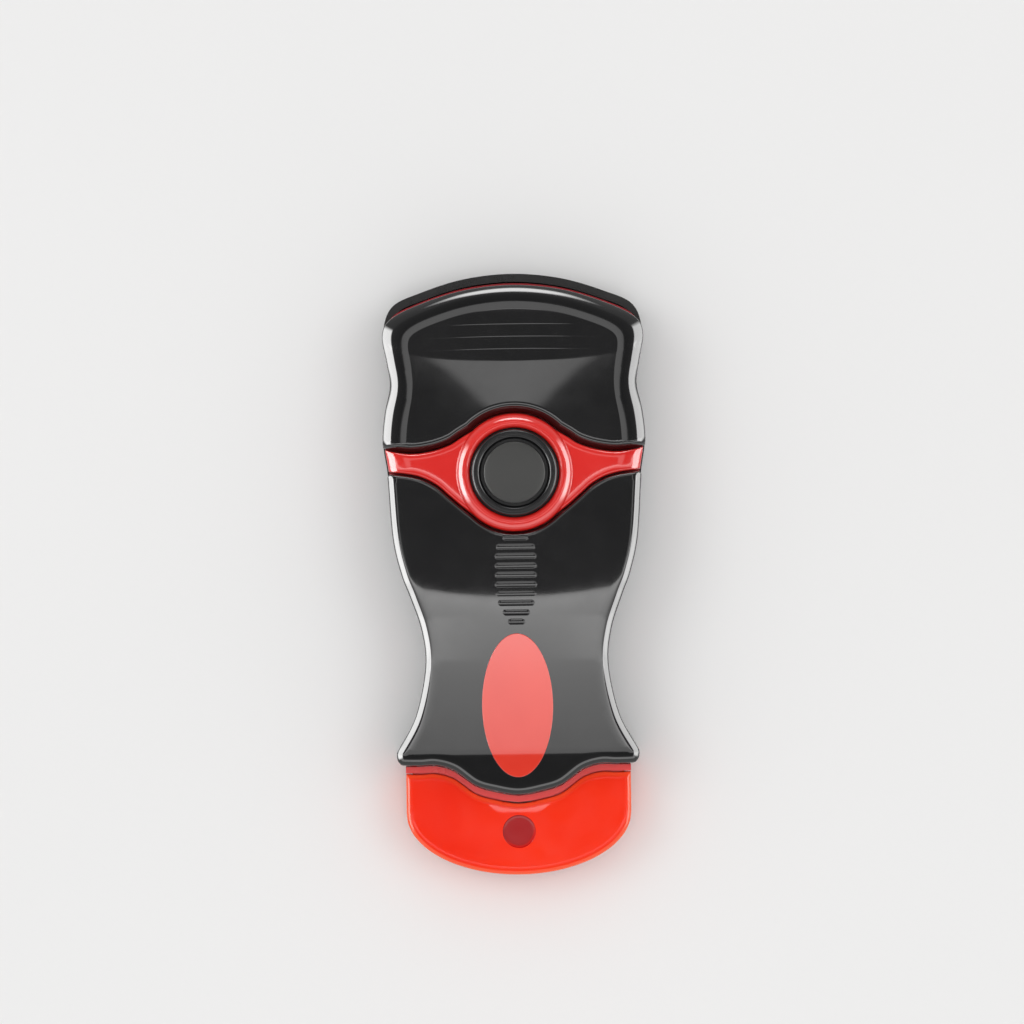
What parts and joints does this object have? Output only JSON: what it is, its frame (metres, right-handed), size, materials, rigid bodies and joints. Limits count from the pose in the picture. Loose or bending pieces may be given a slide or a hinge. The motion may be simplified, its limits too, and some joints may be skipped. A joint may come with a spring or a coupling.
{
  "type": "cleaning scraper",
  "caption": "Pocket blade scraper with a waisted grip body, a push button that unlocks the blade holder, and a pull-off cap over the blade.",
  "frame": {"origin": "centre of the bounding box's bottom face, under the middle of the flat back", "axes": "+Z from the back to the front face with the button, +Y from the nose towards the grip end, +X across the body"},
  "size_m": [0.049, 0.1124, 0.017],
  "materials": {
    "black_plastic": "glossy moulded black",
    "matt_black": "fine matt grain",
    "red_plastic": "glossy moulded red",
    "red_inlay": "satin red",
    "orange_plastic": "translucent orange-red, polished",
    "spring_steel": "bright rolled steel",
    "screw_steel": "zinc plated",
    "blade_steel": "ground blade steel"
  },
  "bodies": {
    "body": {"back_shell": "black_plastic", "middle_frame": "red_plastic", "grip_cover": "black_plastic", "nose_cover": "black_plastic", "oval_inlay": "red_inlay", "button_spring": "spring_steel", "lock_leaf": "spring_steel", "leaf_screw": "screw_steel", "case_screw_1": "screw_steel", "case_screw_2": "screw_steel", "case_screw_3": "screw_steel", "case_screw_4": "screw_steel"},
    "button": {"button_cap": "black_plastic", "button_insert": "matt_black"},
    "holder": {"blade_holder": "red_plastic", "blade": "blade_steel", "blade_spine": "blade_steel", "blade_clamp": "spring_steel", "clamp_screw_1": "screw_steel", "clamp_screw_2": "screw_steel"},
    "cap": {"blade_cap": "orange_plastic"}
  },
  "joints": [
    {"name": "button_press", "type": "slide", "parent": "body", "child": "button", "axis": [0, 0, -1], "range_m": [0, 0.0016], "stiffness_N_per_m": 600, "springref_m": -0.0025, "deforming": ["button_spring"]},
    {"name": "holder_slide", "type": "slide", "parent": "body", "child": "holder", "axis": [0, -1, 0], "range_m": [0, 0.012], "deforming": ["lock_leaf"]},
    {"name": "cap_pull", "type": "slide", "parent": "holder", "child": "cap", "axis": [0, -1, 0], "range_m": [0, 0.025]}
  ]
}
